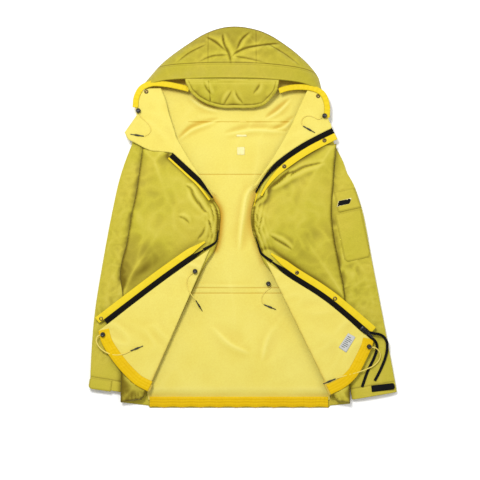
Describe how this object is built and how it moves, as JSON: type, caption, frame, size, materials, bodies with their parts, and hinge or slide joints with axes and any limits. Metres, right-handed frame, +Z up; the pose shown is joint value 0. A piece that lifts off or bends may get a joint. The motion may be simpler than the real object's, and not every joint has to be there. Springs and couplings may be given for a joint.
{
  "type": "hardshell jacket",
  "caption": "Hooded waterproof shell jacket laid flat on its back, front zip open and lower fronts turned out over the sleeves, lining showing.",
  "frame": {"origin": "bottom centre of the box around the laid-out jacket, without its free cords", "axes": "+Z up from the surface it lies on, +Y towards the hood, +X to the right as seen from above, which is the wearer's left"},
  "size_m": [0.8473, 1.0517, 0.0625],
  "materials": {
    "shell": "woven nylon face with a changing olive and gold sheen, membrane laminated",
    "lining": "smooth light yellow membrane lining",
    "facing": "bright yellow plain woven facing",
    "hem_band": "deep gold plain woven hem facing",
    "zip": "black woven tape with moulded teeth",
    "cord": "braided elastic cord",
    "webbing": "black woven tape",
    "plastic": "moulded nylon",
    "button": "moulded nylon, slightly glossy",
    "snap": "dark bronze plated",
    "slider": "black lacquered die casting",
    "label": "satin label, blank"
  },
  "bodies": {
    "torso": {"back_shell": "shell", "back_lining": "lining", "left_front_shell": "shell", "right_front_shell": "shell", "left_lapel": "lining", "right_lapel": "lining", "left_zip_upper": "zip", "right_zip_upper": "zip", "right_placket_upper": "facing", "snap_upper_1": "snap", "snap_upper_2": "snap", "waist_right_lock": "plastic", "waist_right_cord": "cord", "waist_right_cord_end": "plastic", "waist_left_cord_end": "plastic"},
    "hood": {"hood_back": "shell", "hood_crown": "shell", "left_hood_side": "lining", "right_hood_side": "lining", "hanger_loop": "cord", "hood_left_lock": "plastic", "hood_left_cord": "cord", "hood_left_cord_end": "plastic", "hood_right_lock": "plastic", "hood_right_cord": "cord", "hood_right_cord_end": "plastic"},
    "visor": {"hood_visor": "shell"},
    "left_front_turned": {"left_flap": "lining", "left_zip_lower": "zip", "left_placket_lower": "facing", "snap_lower_left": "snap", "waist_left_lock": "plastic", "waist_left_cord": "cord", "hem_left_lock": "plastic", "hem_left_cord": "cord", "hem_left_cord_end": "plastic"},
    "right_front_turned": {"right_flap": "lining", "right_zip_lower": "zip", "right_placket_lower": "facing", "snap_lower_right_1": "snap", "snap_lower_right_2": "snap", "hem_right_lock": "plastic", "hem_right_cord": "cord", "hem_right_cord_end": "plastic"},
    "slider": {"zip_slider": "slider", "pull_ribbon_1": "webbing", "pull_ribbon_2": "webbing"},
    "pull": {"zip_pull": "slider"},
    "left_sleeve_body": {"left_sleeve": "shell"},
    "right_sleeve_body": {"right_sleeve": "shell", "sleeve_pocket": "shell"},
    "left_tab": {"left_cuff_tab": "shell"},
    "right_tab": {"right_cuff_tab": "webbing"},
    "pocket_flap_body": {"pocket_flap": "shell"},
    "hood_left_button": {"hood_left_plunger": "button"},
    "hood_right_button": {"hood_right_plunger": "button"},
    "waist_left_button": {"waist_left_plunger": "button"},
    "waist_right_button": {"waist_right_plunger": "button"},
    "hem_left_button": {"hem_left_plunger": "button"},
    "hem_right_button": {"hem_right_plunger": "button"}
  },
  "joints": [
    {"name": "hood_lift", "type": "hinge", "parent": "torso", "child": "hood", "pos_m": [0, 0.215, 0.034], "axis": [1, 0, 0], "range_deg": [0, 90]},
    {"name": "visor_turn", "type": "hinge", "parent": "hood", "child": "visor", "pos_m": [-0.03, 0.373, 0.0555], "axis": [-1, 0, 0], "range_deg": [0, 100]},
    {"name": "left_front_close", "type": "hinge", "parent": "torso", "child": "left_front_turned", "pos_m": [-0.1685, -0.283, 0.0305], "axis": [0.4252, 0.9051, 0], "range_deg": [0, 160], "deforming": ["waist_left_cord"]},
    {"name": "right_front_close", "type": "hinge", "parent": "torso", "child": "right_front_turned", "pos_m": [0.1475, -0.308, 0.0305], "axis": [0.4511, -0.8924, 0], "range_deg": [0, 160]},
    {"name": "zip_slide", "type": "slide", "parent": "right_front_turned", "child": "slider", "axis": [-0.7616, 0.648, 0], "range_m": [0, 0.1], "deforming": ["pull_ribbon_1", "pull_ribbon_2"]},
    {"name": "pull_turn", "type": "hinge", "parent": "slider", "child": "pull", "pos_m": [0.33214, -0.31097, 0.0415], "axis": [-0.648, -0.7616, 0], "range_deg": [0, 90]},
    {"name": "left_sleeve_swing", "type": "hinge", "parent": "torso", "child": "left_sleeve_body", "pos_m": [-0.268, 0.182, 0.012], "axis": [0, 0, -1], "range_deg": [0, 35]},
    {"name": "right_sleeve_swing", "type": "hinge", "parent": "torso", "child": "right_sleeve_body", "pos_m": [0.212, 0.182, 0.012], "axis": [0, 0, 1], "range_deg": [0, 35]},
    {"name": "left_tab_lift", "type": "hinge", "parent": "left_sleeve_body", "child": "left_tab", "pos_m": [-0.362, -0.464, 0.021], "axis": [0.1395, 0.9902, 0], "range_deg": [0, 105]},
    {"name": "right_tab_lift", "type": "hinge", "parent": "right_sleeve_body", "child": "right_tab", "pos_m": [0.352, -0.472, 0.021], "axis": [0.1197, -0.9928, 0], "range_deg": [0, 105]},
    {"name": "pocket_flap_lift", "type": "hinge", "parent": "right_sleeve_body", "child": "pocket_flap_body", "pos_m": [0.284, 0.077, 0.0259], "axis": [-0.9779, -0.2092, 0], "range_deg": [0, 120]},
    {"name": "hood_left_button_press", "type": "slide", "parent": "hood", "child": "hood_left_button", "axis": [0, 0, -1], "range_m": [0, 0.003], "stiffness_N_per_m": 300, "springref_m": -0.002},
    {"name": "hood_right_button_press", "type": "slide", "parent": "hood", "child": "hood_right_button", "axis": [0, 0, -1], "range_m": [0, 0.003], "stiffness_N_per_m": 300, "springref_m": -0.002},
    {"name": "waist_left_button_press", "type": "slide", "parent": "left_front_turned", "child": "waist_left_button", "axis": [0, 0, -1], "range_m": [0, 0.003], "stiffness_N_per_m": 300, "springref_m": -0.002},
    {"name": "waist_right_button_press", "type": "slide", "parent": "torso", "child": "waist_right_button", "axis": [0, 0, -1], "range_m": [0, 0.003], "stiffness_N_per_m": 300, "springref_m": -0.002},
    {"name": "hem_left_button_press", "type": "slide", "parent": "left_front_turned", "child": "hem_left_button", "axis": [0, 0, -1], "range_m": [0, 0.003], "stiffness_N_per_m": 300, "springref_m": -0.002},
    {"name": "hem_right_button_press", "type": "slide", "parent": "right_front_turned", "child": "hem_right_button", "axis": [0, 0, -1], "range_m": [0, 0.003], "stiffness_N_per_m": 300, "springref_m": -0.002}
  ]
}
